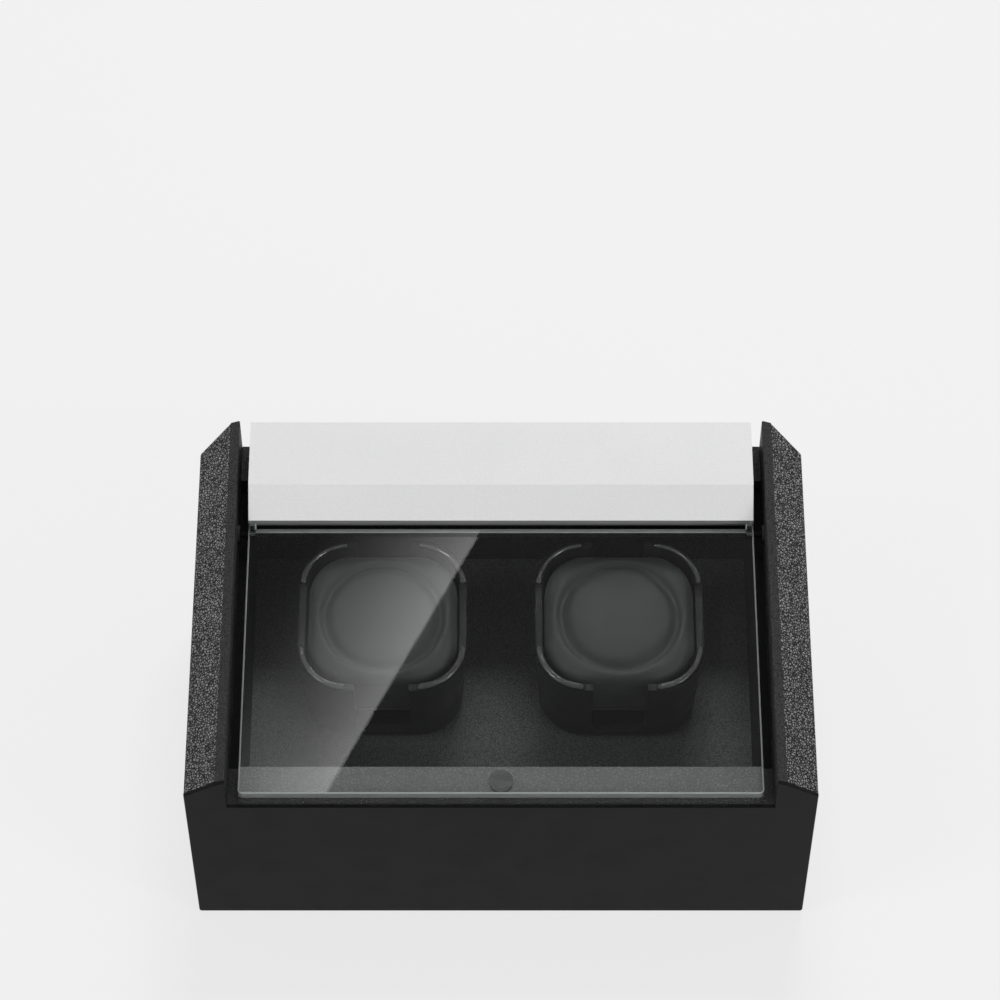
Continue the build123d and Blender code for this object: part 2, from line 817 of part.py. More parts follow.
# A fluted selector knob with a pointer notch; its stem runs through the web
def make_knob():
    knob = cylinder_up(knob_radius, knob_length)
    knob = chamfer(knob.edges().group_by(Axis.Z)[-1], knob_bevel)
    for index in range(knob_grooves):
        groove = Pos(knob_radius + knob_groove_out, 0, 0) * cylinder_up(knob_groove_radius, knob_length)
        groove = Rot(0, 0, index * 360 / knob_grooves) * groove
        knob = knob - groove
    pointer = box_up(pointer_width, knob_radius, pointer_depth)
    pointer = Pos(0, knob_radius / 2, knob_length - pointer_depth) * pointer
    stem_length = knob_lift + recess_web + selector_gap + selector_grip
    stem = Pos(0, 0, -stem_length) * cylinder_up(knob_stem_radius, stem_length)
    return knob - pointer + stem


# The circuit board, screwed over the pocket behind the controls
def make_control_board():
    length = recess_width + 2 * pocket_margin + 2 * board_overlap
    height = recess_height + 2 * pocket_margin + 2 * board_overlap
    return Pos(0, back_wall_front - board_plate_thickness / 2, control_height) * Box(
        length, board_plate_thickness, height
    )


# The two rotary selectors on the board, each with a blind bore for a knob's stem
def make_selectors():
    bodies = []
    depth = web_front - selector_gap - back_wall_front
    for x in knob_places:
        body = Box(selector_size, depth, selector_size)
        body = Pos(x, back_wall_front + depth / 2, control_height) * body
        bore_start = back_wall_front + depth - selector_grip - selector_gap
        bore = cylinder_along_y(
            knob_stem_radius + knob_stem_gap, x, bore_start, back_wall_front + depth, control_height
        )
        bodies.append(body - bore)
    return bodies


def save(name, pieces):
    if not isinstance(pieces, (list, tuple)):
        pieces = [pieces]
    moved = []
    for piece in pieces:
        for solid in piece.solids():
            moved.append(Pos(0, -case_depth / 2, 0) * solid)
    shape = moved[0] if len(moved) == 1 else Compound(children=moved)
    export_step(shape, f"parts/{name}.step")


def mirrored(piece):
    return mirror(piece, about=Plane.YZ)


# One cup's place: its axis square to the slope, its base just over the deck
def at_cup(piece, side, level=0.0):
    return on_slope(piece, side * cup_spacing / 2, cup_place, level)


def at_motor(piece, side, level=0.0):
    return on_slope(piece, side * cup_spacing / 2, cup_place + gear_distance, level)


def save_drive(side_name, side):
    shaft, shaft_bottom = make_cup_shaft()
    motor_shaft, motor_shaft_bottom = make_motor_shaft()
    save(f"cup_{side_name}", at_cup(make_cup(), side, cup_base_level))
    save(f"cup_ridges_{side_name}", [at_cup(ridge, side, cup_base_level) for ridge in make_ridges()])
    save(f"cushion_{side_name}", at_cup(make_cushion(), side, cup_base_level))
    save(f"cup_shaft_{side_name}", at_cup(shaft, side, shaft_bottom))
    save(f"drive_gear_{side_name}", at_cup(make_gear(), side, gear_bottom))
    clip_bottom = gear_bottom - gear_hub_length - clip_thickness
    save(f"shaft_clip_{side_name}", at_cup(make_clip(), side, clip_bottom))
    save(f"deck_bush_{side_name}", at_cup(make_deck_bush(), side, deck_level))
    save(f"motor_{side_name}", at_motor(make_motor(), side, motor_top))
    save(f"motor_bracket_{side_name}", at_motor(make_bracket(), side, motor_top))
    save(f"motor_pinion_{side_name}", at_motor(make_pinion(), side, gear_bottom))
    save(f"motor_shaft_{side_name}", at_motor(motor_shaft, side, motor_shaft_bottom))


def save_controls():
    save("power_jack", make_jack())
    save("switch_frame", make_switch_frame())
    rocker = Rot(-90, 0, 0) * Rot(0, -rocker_angle_deg, 0) * make_rocker()
    save("switch_rocker", Pos(switch_place, rocker_pivot_y, control_height) * rocker)
    for name, x in zip(("left", "right"), knob_places):
        knob = Rot(-90, 0, 0) * make_knob()
        save(f"selector_knob_{name}", Pos(x, web_back + knob_lift, control_height) * knob)
    save("control_board", make_control_board())
    save("selector_bodies", make_selectors())


def main():
    os.makedirs("parts", exist_ok=True)
    side_pieces = {
        "side_pad": make_side_pad(),
        "side_board": make_side_board(),
        "side_liner": make_liner(),
        "pivot_bush": make_pivot_bush(),
    }
    for name, piece in side_pieces.items():
        save(f"{name}_right", piece)
        save(f"{name}_left", mirrored(piece))
    save("front_fascia", make_fascia())
    save("front_wall", make_front_wall())
    save("back_wall", make_back_wall())
    save("bottom_board", make_bottom())
    save("rubber_feet", make_feet())
    save("deck", make_deck())
    save("bar_cover", make_bar_cover())
    save("bar_core", make_bar_core())
    save("glass_lid", make_glass())
    save("lid_pins", make_pivot_pins())
    save("strike_disc", make_strike())
    save("catch_magnet", make_magnet())
    for name, side in (("left", -1), ("right", 1)):
        save_drive(name, side)
    save_controls()


main()
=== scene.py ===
import json
import math

import bmesh
import bpy
from mathutils import Matrix, Vector, noise


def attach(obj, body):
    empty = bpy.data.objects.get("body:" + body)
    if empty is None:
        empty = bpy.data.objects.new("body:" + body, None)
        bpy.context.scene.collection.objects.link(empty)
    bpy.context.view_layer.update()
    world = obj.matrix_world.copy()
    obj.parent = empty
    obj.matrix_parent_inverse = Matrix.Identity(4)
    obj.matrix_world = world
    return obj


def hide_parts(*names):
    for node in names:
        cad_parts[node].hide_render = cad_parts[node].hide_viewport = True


# The looks of a double watch winder: leather-covered case, glass lid, aluminium bar and
# two turning cups with soft cushions. Lengths are metres, in the model's own frame.

MM = 0.001

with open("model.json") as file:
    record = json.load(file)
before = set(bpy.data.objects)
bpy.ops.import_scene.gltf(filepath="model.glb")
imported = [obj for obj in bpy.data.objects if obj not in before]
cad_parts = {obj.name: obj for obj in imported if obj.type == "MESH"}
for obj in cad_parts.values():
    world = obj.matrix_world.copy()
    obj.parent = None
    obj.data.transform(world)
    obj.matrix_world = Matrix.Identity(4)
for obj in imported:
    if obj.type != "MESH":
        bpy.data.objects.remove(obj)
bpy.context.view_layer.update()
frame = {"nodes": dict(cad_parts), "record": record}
scene = bpy.context.scene

# The lid and the deck lean forward by this angle, and the cups stand square to them
SLOPE = math.radians(5.7)
CASE_DEPTH = 179 * MM
FOOT_HEIGHT = 1 * MM
# Where a cup's axis and base lie, measured along and square to the slope
CUP_SPACING = 105 * MM
CUP_PLACE = 106.76 * MM
CUP_BASE = 28.9 * MM
# The pane's back edge, measured along the slope from the case's front
LID_BACK = 141.86 * MM
LID_HALF_WIDTH = 112.2 * MM
# The front wall's ledge, which the pane closes on, lies behind and above these places
LEDGE_FRONT = -84.6 * MM
LEDGE_HEIGHT = 80 * MM


# Builds the nodes of one material, ending in a Principled shader
class Surface:
    def __init__(self, name, colour, roughness, **settings):
        self.material = bpy.data.materials.new(name)
        self.material.use_nodes = True
        self.tree = self.material.node_tree
        self.tree.nodes.clear()
        self.shader = self.tree.nodes.new("ShaderNodeBsdfPrincipled")
        self.output = self.tree.nodes.new("ShaderNodeOutputMaterial")
        self.finish(self.shader.outputs["BSDF"])
        self.set("Base Color", (*colour, 1.0))
        self.set("Roughness", roughness)
        for key, value in settings.items():
            self.set(key.replace("_", " ").title().replace("Ior", "IOR"), value)

    def set(self, name, value):
        self.shader.inputs[name].default_value = value

    def plug(self, socket, name):
        self.tree.links.new(socket, self.shader.inputs[name])

    # Makes a shader the one that the material shows
    def finish(self, shader):
        self.tree.links.new(shader, self.output.inputs["Surface"])

    def node(self, kind, **inputs):
        made = self.tree.nodes.new("ShaderNode" + kind)
        for name, value in inputs.items():
            self.feed(made.inputs[name.replace("_", " ")], value)
        return made

    def feed(self, target, value):
        if isinstance(value, bpy.types.NodeSocket):
            self.tree.links.new(value, target)
        else:
            target.default_value = value

    def position(self):
        return self.node("TexCoord").outputs["Object"]

    def axes(self):
        return self.node("SeparateXYZ", Vector=self.position()).outputs

    def ray(self, kind):
        return self.node("LightPath").outputs[f"Is {kind} Ray"]

    def math(self, operation, first, second=0.0):
        made = self.node("Math")
        made.operation = operation
        self.feed(made.inputs[0], first)
        self.feed(made.inputs[1], second)
        return made.outputs[0]

    # The highest, the product or the sum of several values
    def joined(self, operation, first, *others):
        for other in others:
            first = self.math(operation, first, other)
        return first

    def vector_math(self, operation, first, second):
        made = self.node("VectorMath")
        made.operation = operation
        self.feed(made.inputs[0], first)
        self.feed(made.inputs["Scale" if operation == "SCALE" else 1], second)
        return made.outputs[0]

    def remap(self, value, low, high, to_low=0.0, to_high=1.0):
        made = self.node("MapRange")
        made.interpolation_type = "SMOOTHSTEP"
        for place, number in enumerate((value, low, high, to_low, to_high)):
            self.feed(made.inputs[place], number)
        return made.outputs[0]

    def noise(self, size_mm, detail=2.0, vector=None):
        made = self.node("TexNoise", Scale=1 / (size_mm * MM), Detail=detail)
        self.feed(made.inputs["Vector"], vector or self.position())
        return made.outputs["Fac"]

    # How far a point is from the edges between cells of about this size
    def cell_edges(self, size_mm, vector=None, randomness=1.0):
        made = self.node("TexVoronoi", Scale=1 / (size_mm * MM), Randomness=randomness)
        made.feature = "DISTANCE_TO_EDGE"
        self.feed(made.inputs["Vector"], vector or self.position())
        return made.outputs["Distance"]

    def stretched(self, x, y, z):
        return self.node("Mapping", Vector=self.position(), Scale=(x, y, z)).outputs["Vector"]

    # Positions pushed about by a coarse noise, so that cells drawn on them look irregular
    def warped(self, size_mm, amount_mm):
        place = self.position()
        drift = self.node("TexNoise", Scale=1 / (size_mm * MM), Detail=1.0, Vector=place)
        centred = self.vector_math("SUBTRACT", drift.outputs["Color"], (0.5, 0.5, 0.5))
        moved = self.vector_math("SCALE", centred, 2 * amount_mm * MM)
        return self.vector_math("ADD", place, moved)

    def blend(self, factor, first, second):
        made = self.node("Mix")
        made.data_type = "RGBA"
        self.feed(made.inputs["Factor"], factor)
        for socket, colour in ((made.inputs[6], first), (made.inputs[7], second)):
            plain = not isinstance(colour, bpy.types.NodeSocket)
            self.feed(socket, (*colour, 1.0) if plain else colour)
        return made.outputs[2]

    # A tone between two shades of one colour
    def shade(self, tone, colour, dark, pale):
        blend = self.blend(tone, scaled(colour, dark), scaled(colour, pale))
        self.plug(blend, "Base Color")
        return blend

    def polish(self, value, low, high, from_roughness, to_roughness):
        self.plug(self.remap(value, low, high, from_roughness, to_roughness), "Roughness")

    def bump(self, height, distance_mm, strength=1.0):
        made = self.node("Bump", Strength=strength, Distance=distance_mm * MM, Height=height)
        self.plug(made.outputs["Normal"], "Normal")

    def emission(self, colour, strength):
        return self.node("Emission", Color=(*colour, 1.0), Strength=strength).outputs[0]

    # One shader or another, by a factor
    def mix_shaders(self, factor, first, second):
        mix = self.node("MixShader", Fac=factor)
        self.tree.links.new(first, mix.inputs[1])
        self.tree.links.new(second, mix.inputs[2])
        self.finish(mix.outputs[0])


def scaled(colour, factor):
    return tuple(part * factor for part in colour)


# A neutral colour, or one with a blue part of its own
def grey(level, blue=None):
    return (level, level, level if blue is None else blue)


# Sizes of a leather's lumps, pores and rubbed patches, in pebbles
LUMP_SIZE, PORE_SIZE, PATCH_SIZE = 1.7, 0.3, 18.0
# Heights of its lumps and pores beside the pebbles' own
LUMP_HEIGHT, PORE_HEIGHT = 0.9, 0.22


# Leather with rounded pebbles parted by creases; grain is the size of one pebble in mm
def leather_maker(name, colour, grain, relief, roughness, contrast, level):
    made = Surface(name, colour, roughness, specular_ior_level=level)
    edge = made.cell_edges(grain, made.warped(2.2 * grain, 0.4 * grain))
    pebble = made.remap(edge, 0.03, 0.22)
    lumps = made.noise(LUMP_SIZE * grain)
    pores = made.noise(PORE_SIZE * grain)
    height = made.math("ADD", pebble, made.math("MULTIPLY", lumps, LUMP_HEIGHT))
    height = made.math("ADD", height, made.math("MULTIPLY", pores, PORE_HEIGHT))
    patches = made.noise(PATCH_SIZE * grain, 3.0)
    worn_lumps = made.remap(lumps, 0.36, 0.62, 0.6, 1.0)
    worn_patches = made.remap(patches, 0.3, 0.7, 0.85, 1.0)
    # Painted shade and highlight: contrast darkens the creases and pales the pebbles' tops,
    # beside the random rubbed lumps and patches
    tone = made.math("MULTIPLY", pebble, made.math("MULTIPLY", worn_lumps, worn_patches))
    shades = made.shade(tone, colour, 1.0 - contrast, 1.0 + contrast)
    made.polish(tone, 0.0, 1.0, roughness + 0.1, roughness - 0.08)
    made.bump(height, relief)
    return made, shades


def leather(name, colour, grain, relief, roughness, contrast, level):
    return leather_maker(name, colour, grain, relief, roughness, contrast, level)[0].material


# Covering of the case's boards: paler on the ledge that the pane closes on, and dark where it
# wraps the front's upper edge and beside the pane, a painted shade for the pane edge's shadow
def board_covering():
    made, pale = leather_maker("case_board", grey(0.158, 0.159), 1.5, 0.12, 0.5, 0.16, 0.12)
    place = made.axes()
    behind = made.remap(place["Y"], LEDGE_FRONT, LEDGE_FRONT + 0.6 * MM)
    above = made.remap(place["Z"], LEDGE_HEIGHT, LEDGE_HEIGHT + 1 * MM)
    aside = made.math("ABSOLUTE", place["X"])
    below = made.remap(aside, LID_HALF_WIDTH, LID_HALF_WIDTH + 0.5 * MM, 1.0, 0.0)
    ledge = made.joined("MULTIPLY", behind, above, below)
    # Painted shade: the dark tone off the ledge stands in for the shadow of the pane's edge
    dark = made.blend(made.noise(1.1), grey(0.011, 0.0113), grey(0.032, 0.0325))
    made.plug(made.blend(ledge, dark, pale), "Base Color")
    return made.material


# Moulded plastic or rubber: faint flow marks and a fine skin
def moulded(name, colour, roughness, relief=0.02, **settings):
    made = Surface(name, colour, roughness, **settings)
    flow = made.noise(14.0, 3.0)
    made.shade(flow, colour, 0.85, 1.15)
    made.polish(flow, 0.25, 0.75, roughness - 0.05, roughness + 0.06)
    made.bump(made.noise(0.5), relief)
    return made.material


# Glossy plastic without any skin, so that its highlights stay long and clean
def glossy(name, colour, roughness, coat):
    made = Surface(
        name, colour, roughness, specular_ior_level=0.5, coat_weight=coat, coat_roughness=0.08
    )
    flow = made.noise(9.0, 1.0)
    made.shade(flow, colour, 0.9, 1.1)
    made.polish(flow, 0.3, 0.7, roughness - 0.02, roughness + 0.03)
    return made.material


# Metal with a turned or ground finish, drawn out along the directions scaled below one
def metal(name, colour, roughness, grain_mm, relief, direction=(1, 1, 1)):
    made = Surface(name, colour, roughness, metallic=1.0)
    fine = made.noise(grain_mm, 3.0, made.stretched(*direction))
    broad = made.noise(22.0)
    tone = made.math("ADD", made.math("MULTIPLY", fine, 0.6), made.math("MULTIPLY", broad, 0.4))
    made.shade(tone, colour, 0.92, 1.05)
    made.polish(tone, 0.3, 0.7, roughness - 0.06, roughness + 0.08)
    made.bump(fine, relief)
    return made.material


# The cover of the bar: fine blasted aluminium with a pearly grain
def blasted_aluminium():
    colour = grey(0.68, 0.685)
    made = Surface("blasted_aluminium", colour, 0.5, metallic=0.45)
    sand = made.noise(0.5, 3.0)
    cloud = made.noise(34.0)
    tone = made.math("ADD", made.math("MULTIPLY", sand, 0.85), made.math("MULTIPLY", cloud, 0.15))
    made.shade(made.remap(tone, 0.35, 0.65), colour, 0.96, 1.04)
    made.polish(sand, 0.3, 0.7, 0.45, 0.56)
    made.bump(sand, 0.035, 0.7)
    return made.material


# Lets lamplight and bounced light pass straight through a glass shader
def pass_light(made, tint):
    clear = made.node("BsdfTransparent", Color=(*tint, 1.0))
    either = made.math("MAXIMUM", made.ray("Shadow"), made.ray("Diffuse"))
    made.mix_shaders(either, made.shader.outputs["BSDF"], clear.outputs["BSDF"])


# The clear faces of the pane, with faint wiping marks
def clear_glass():
    colour = (0.90, 0.915, 0.91)
    made = Surface("clear_glass", colour, 0.0, transmission_weight=1.0, ior=1.5)
    smear = made.noise(26.0, 4.0, made.stretched(1.0, 0.45, 1.0))
    made.shade(made.remap(smear, 0.5, 0.8), colour, 1.0, 0.96)
    pass_light(made, (0.86, 0.88, 0.87))
    return made.material


# One of the pane's ground and polished rims, whose pale grey-green is painted light standing in
# for the light the pane carries out through them
def glass_rim(name, colour, roughness):
    made = Surface(name, colour, roughness, ior=1.5, transmission_weight=0.15)
    grind = made.noise(1.6, 1.0, made.stretched(0.15, 0.15, 1.0))
    made.shade(grind, colour, 0.9, 1.1)
    made.polish(grind, 0.3, 0.7, roughness - 0.03, roughness + 0.05)
    return made.material


# Dull plating of the catch. Light passes it, so the disc glued flat to the pane looks even.
def magnet_coating():
    made = Surface("magnet_nickel", grey(0.085, 0.0865), 0.5, specular_ior_level=0.2)
    pass_light(made, grey(0.9))
    return made.material


# Circuit board: green mask with pale tracks
def circuit_board():
    mask = (0.01, 0.09, 0.04)
    made = Surface("circuit_board", mask, 0.35)
    field = made.remap(made.cell_edges(3.5, randomness=0.15), 0.04, 0.07)
    made.plug(made.blend(field, (0.05, 0.2, 0.1), mask), "Base Color")
    made.bump(made.math("SUBTRACT", 1.0, field), 0.05)
    return made.material


# Soft leather of the cushions: tiny grain, a dull sheen and rubbed patches
def cushion_leather():
    colour = grey(0.0385, 0.0391)
    made = Surface(
        "cushion_leather", colour, 0.5,
        sheen_weight=0.08, sheen_roughness=0.5, specular_ior_level=0.18,
    )
    pebble = made.remap(made.cell_edges(0.6, made.warped(1.6, 0.25)), 0.02, 0.35)
    rub = made.noise(12.0)
    tone = made.math("ADD", made.math("MULTIPLY", pebble, 0.35), made.math("MULTIPLY", rub, 0.65))
    made.shade(tone, colour, 0.75, 1.25)
    made.polish(rub, 0.3, 0.7, 0.44, 0.54)
    made.bump(pebble, 0.025)
    return made.material


# Leathers give colour, grain in mm, relief in mm, roughness, contrast (painted crease shade and
# top highlight) and specular level.
# Metals give colour, roughness, grain in mm, relief in mm and the grain's direction.
MATERIALS = {
    "pebbled_leather": leather(
        "pebbled_leather", grey(0.127, 0.128), 1.2, 0.8, 0.42, 0.98, 0.2),
    "smooth_leather": leather(
        "smooth_leather", grey(0.0275, 0.028), 0.9, 0.09, 0.45, 0.6, 0.18),
    "deck_lining": leather("deck_lining", grey(0.090, 0.091), 0.9, 0.05, 0.55, 0.42, 0.08),
    "lining": leather("lining", grey(0.006, 0.0061), 0.7, 0.04, 0.55, 0.25, 0.04),
    "case_board": board_covering(),
    "fascia": moulded("fascia", grey(0.0055, 0.0057), 0.36, 0.01, specular_ior_level=0.07),
    "cover_aluminium": blasted_aluminium(),
    "bar_filler": moulded("bar_filler", grey(0.37, 0.375), 0.6, specular_ior_level=0.2),
    "cup_plastic": moulded(
        "cup_plastic", grey(0.016, 0.0163), 0.34, 0.006, specular_ior_level=0.12),
    "ridge_gloss": glossy("ridge_gloss", grey(0.010, 0.0103), 0.2, 0.5),
    "cushion_leather": cushion_leather(),
    "steel": metal("steel", grey(0.62, 0.63), 0.28, 0.4, 0.01, (0.3, 1, 1)),
    "black_steel": metal("black_steel", grey(0.008, 0.009), 0.5, 0.4, 0.005),
    "magnet_nickel": magnet_coating(),
    "bush_brass": metal("bush_brass", (0.70, 0.53, 0.27), 0.3, 0.5, 0.01),
    "gear_acetal": moulded("gear_acetal", (0.72, 0.71, 0.67), 0.42),
    "zinc_steel": metal("zinc_steel", (0.66, 0.67, 0.69), 0.36, 1.2, 0.015),
    "motor_can": metal("motor_can", grey(0.55, 0.56), 0.33, 0.8, 0.01, (1, 1, 0.2)),
    "board_laminate": circuit_board(),
    "control_plastic": moulded(
        "control_plastic", grey(0.012, 0.0125), 0.42, specular_ior_level=0.25),
    "knob_plastic": moulded("knob_plastic", grey(0.03, 0.032), 0.4),
    "rubber": moulded("rubber", grey(0.018), 0.8, 0.05, specular_ior_level=0.3),
}


def dress_frame():
    for part in frame["record"]["subparts"]:
        if part["material_slot"] == "glass":
            continue
        data = frame["nodes"][part["node"]].data
        data.materials.clear()
        data.materials.append(MATERIALS[part["material_slot"]])
    # Pebbled leather covers the back wall's outside; its top and inside are smooth
    wall = frame["nodes"]["back_wall"].data
    wall.materials.append(MATERIALS["smooth_leather"])
    for face in wall.polygons:
        face.material_index = 0 if face.normal.y > 0.5 else 1


# Clear faces on the pane's two broad sides, ground rims round it, polished arrises between
def dress_glass():
    mesh = frame["nodes"]["glass_lid"].data
    mesh.materials.clear()
    clear, rim, arris, ear, back = range(5)
    mesh.materials.append(clear_glass())
    # The rims' pale tones are painted light; the ears' palest one is a painted highlight
    for name, colour, roughness in (
        ("glass_rim", (0.20, 0.215, 0.209), 0.22),
        ("glass_arris", (0.36, 0.385, 0.375), 0.16),
        ("glass_ear", (0.74, 0.84, 0.79), 0.3),
        ("glass_back_rim", (0.45, 0.46, 0.455), 0.25),
    ):
        mesh.materials.append(glass_rim(name, colour, roughness))
    # How nearly a flat face and an arris lie in the pane's plane
    flat, slanted = 0.99, 0.3
    square = Vector((0, -math.sin(SLOPE), math.cos(SLOPE)))
    along = Vector((0, math.cos(SLOPE), math.sin(SLOPE)))
    datum = Vector((0, -CASE_DEPTH / 2, FOOT_HEIGHT))
    for face in mesh.polygons:
        lean = abs(face.normal.dot(square))
        place = (face.center - datum).dot(along)
        corners = [mesh.vertices[corner].co for corner in face.vertices]
        nearest = min((corner - datum).dot(along) for corner in corners)
        if nearest > LID_BACK - 0.1 * MM and place > LID_BACK + 0.2 * MM:
            face.material_index = ear
        elif lean > flat:
            face.material_index = clear
        elif place > LID_BACK - 0.6 * MM:
            face.material_index = back
        else:
            face.material_index = arris if lean > slanted else rim


# Places something made about its own axis at one cup: side is -1 for the left, 1 for the right
def cup_matrix(side):
    y = CUP_PLACE * math.cos(SLOPE) - CUP_BASE * math.sin(SLOPE) - CASE_DEPTH / 2
    z = FOOT_HEIGHT + CUP_PLACE * math.sin(SLOPE) + CUP_BASE * math.cos(SLOPE)
    place = Matrix.Translation((side * CUP_SPACING / 2, y, z))
    return place @ Matrix.Rotation(SLOPE, 4, "X")


def circle_point(radius, angle):
    return Vector((radius * math.cos(angle), radius * math.sin(angle)))


# Where a ray at an angle from the centre meets a rounded rectangle
def rounded_rectangle(half_x, half_y, corner, angle):
    direction = circle_point(1.0, angle)
    tiny, far = 1e-9, 1e9
    reach = min(
        half_x / abs(direction.x) if abs(direction.x) > tiny else far,
        half_y / abs(direction.y) if abs(direction.y) > tiny else far,
    )
    point = direction * reach
    if abs(point.x) <= half_x - corner or abs(point.y) <= half_y - corner:
        return point
    centre = Vector((
        math.copysign(half_x - corner, point.x),
        math.copysign(half_y - corner, point.y),
    ))
    along = direction.dot(centre)
    inside = along ** 2 - centre.length_squared + corner ** 2
    return direction * (along + math.sqrt(max(0.0, inside)))


# The cushion's underside and upper edge, above the cup's base
CUSHION_BASE = 12.4 * MM
CUSHION_EDGE = 49.2 * MM
# Its half width across and along and its corner at the cup's base, and how they grow with
# height, as the cup does
CUSHION_ACROSS, CUSHION_ALONG, CUSHION_CORNER = 30.9 * MM, 30.0 * MM, 16.5 * MM
SIDE_DRAFT, CORNER_DRAFT = 0.042, 0.04
CHANNEL_RADIUS = 26 * MM
# Points round the unfilled cushion
CUSHION_POINTS = 96
# Its side, as shares of its height and how far in from the full size they lie, in mm
CUSHION_SIDE = (
    (0.0, 4.5), (0.03, 2.2), (0.10, 0.9), (0.22, 0.1), (0.40, 0.5),
    (0.58, 0.8), (0.76, 0.4), (0.90, 0.1), (0.96, 0.6), (1.0, 2.0),
)
# Its shoulder, as shares of the way from the edge to the channel and the rise there in mm
CUSHION_SHOULDER = ((0.4, 0.7), (0.75, 0.9))
# The middle of its top, as radius and rise in mm
CUSHION_MIDDLE = ((26.0, 0.9), (22.0, 1.2), (14.0, 1.5), (6.0, 1.6))


# Half width across and along, and corner radius, of the unfilled cushion at a height
def cushion_size(height, inset_mm):
    inset = inset_mm * MM
    across = CUSHION_ACROSS + SIDE_DRAFT * height - inset
    along = CUSHION_ALONG + SIDE_DRAFT * height - inset
    corner = CUSHION_CORNER + CORNER_DRAFT * height - inset
    return across, along, corner


# Rings of the unfilled cushion from its underside to the middle of its top, as points
def cushion_rings():
    turns = [2 * math.pi * (index + 0.5) / CUSHION_POINTS for index in range(CUSHION_POINTS)]
    rings = []
    for share, inset in CUSHION_SIDE:
        level = CUSHION_BASE + share * (CUSHION_EDGE - CUSHION_BASE)
        size = cushion_size(level, inset)
        rings.append([(*rounded_rectangle(*size, turn), level) for turn in turns])
    size = cushion_size(CUSHION_EDGE, CUSHION_SIDE[-1][1])
    edge = [rounded_rectangle(*size, turn) for turn in turns]
    channel = [circle_point(CHANNEL_RADIUS, turn) for turn in turns]
    for share, rise in CUSHION_SHOULDER:
        level = CUSHION_EDGE + rise * MM
        rings.append([(*outer.lerp(inner, share), level) for outer, inner in zip(edge, channel)])
    for radius, rise in CUSHION_MIDDLE:
        level = CUSHION_EDGE + rise * MM
        rings.append([(*circle_point(radius * MM, turn), level) for turn in turns])
    return rings


# Four-sided faces between neighbouring rings, which have as many vertices each
def join_rings(mesh, rings):
    for lower, upper in zip(rings, rings[1:]):
        for index in range(len(lower)):
            after = (index + 1) % len(lower)
            mesh.faces.new((lower[index], lower[after], upper[after], upper[index]))


def add_object(name, data):
    made = bpy.data.objects.new(name, data)
    scene.collection.objects.link(made)
    return made


def mesh_object(name, mesh):
    data = bpy.data.meshes.new(name)
    mesh.to_mesh(data)
    mesh.free()
    return add_object(name, data)


def unfilled_cushion(name):
    mesh = bmesh.new()
    rings = [[mesh.verts.new(point) for point in ring] for ring in cushion_rings()]
    join_rings(mesh, rings)
    mesh.faces.new(list(reversed(rings[0])))
    mesh.faces.new(rings[-1])
    return mesh_object(name, mesh)


# The object's mesh with its modifiers worked out, put in place of the mesh it had
def settle(piece):
    bpy.context.view_layer.update()
    worked = piece.evaluated_get(bpy.context.evaluated_depsgraph_get())
    data = bpy.data.meshes.new_from_object(worked)
    piece.modifiers.clear()
    piece.data = data


# The cloth is blown up at ten times its size, where the solver's own units suit it
CLOTH_SCALE = 10.0
CLOTH_CELL = 1.7 * MM * CLOTH_SCALE
CLOTH_FRAMES = 20
CLOTH_PRESSURE = 4.0
# What is held still: this much of the foot, and this far to each side of the channel
HELD_HEIGHT = 2.5 * MM
HELD_WIDTH = 1.1 * MM
# The furthest that the filling pushes any point
SWELL = 0.7 * MM


# Fills a cushion with air pressure, held where it rests and along its sewn channel
def inflate(piece):
    piece.data.transform(Matrix.Scale(CLOTH_SCALE, 4))
    remesh = piece.modifiers.new("even", "REMESH")
    remesh.mode = "VOXEL"
    remesh.voxel_size = CLOTH_CELL
    settle(piece)
    start = [vertex.co.copy() for vertex in piece.data.vertices]
    held = piece.vertex_groups.new(name="held")
    for index, place in enumerate(start):
        foot = place.z < (CUSHION_BASE + HELD_HEIGHT) * CLOTH_SCALE
        top = place.z > CUSHION_EDGE * CLOTH_SCALE
        off = abs(math.hypot(place.x, place.y) - CHANNEL_RADIUS * CLOTH_SCALE)
        if foot or (top and off < HELD_WIDTH * CLOTH_SCALE):
            held.add([index], 1.0, "REPLACE")
    cloth = piece.modifiers.new("cloth", "CLOTH")
    cloth.settings.vertex_group_mass = "held"
    cloth.settings.use_pressure = True
    cloth.settings.uniform_pressure_force = CLOTH_PRESSURE
    cloth.settings.effector_weights.gravity = 0.0
    cloth.point_cache.frame_start = 1
    cloth.point_cache.frame_end = CLOTH_FRAMES
    for number in range(1, CLOTH_FRAMES + 1):
        scene.frame_set(number)
    settle(piece)
    scene.frame_set(1)
    for vertex, before in zip(piece.data.vertices, start):
        move = vertex.co - before
        if move.length > SWELL * CLOTH_SCALE:
            vertex.co = before + move.normalized() * SWELL * CLOTH_SCALE
    piece.vertex_groups.clear()
    piece.data.transform(Matrix.Scale(1 / CLOTH_SCALE, 4))


# Widths and depths of the sewn channel and of the hollow beside it, in mm
SEWN_INNER, SEWN_OUTER, SEWN_DEPTH = 2.6, 1.5, 2.3
BESIDE_WIDTH, BESIDE_DEPTH = 3.6, 0.3
GATHER_RATE, GATHER_DEPTH = 14, 0.16


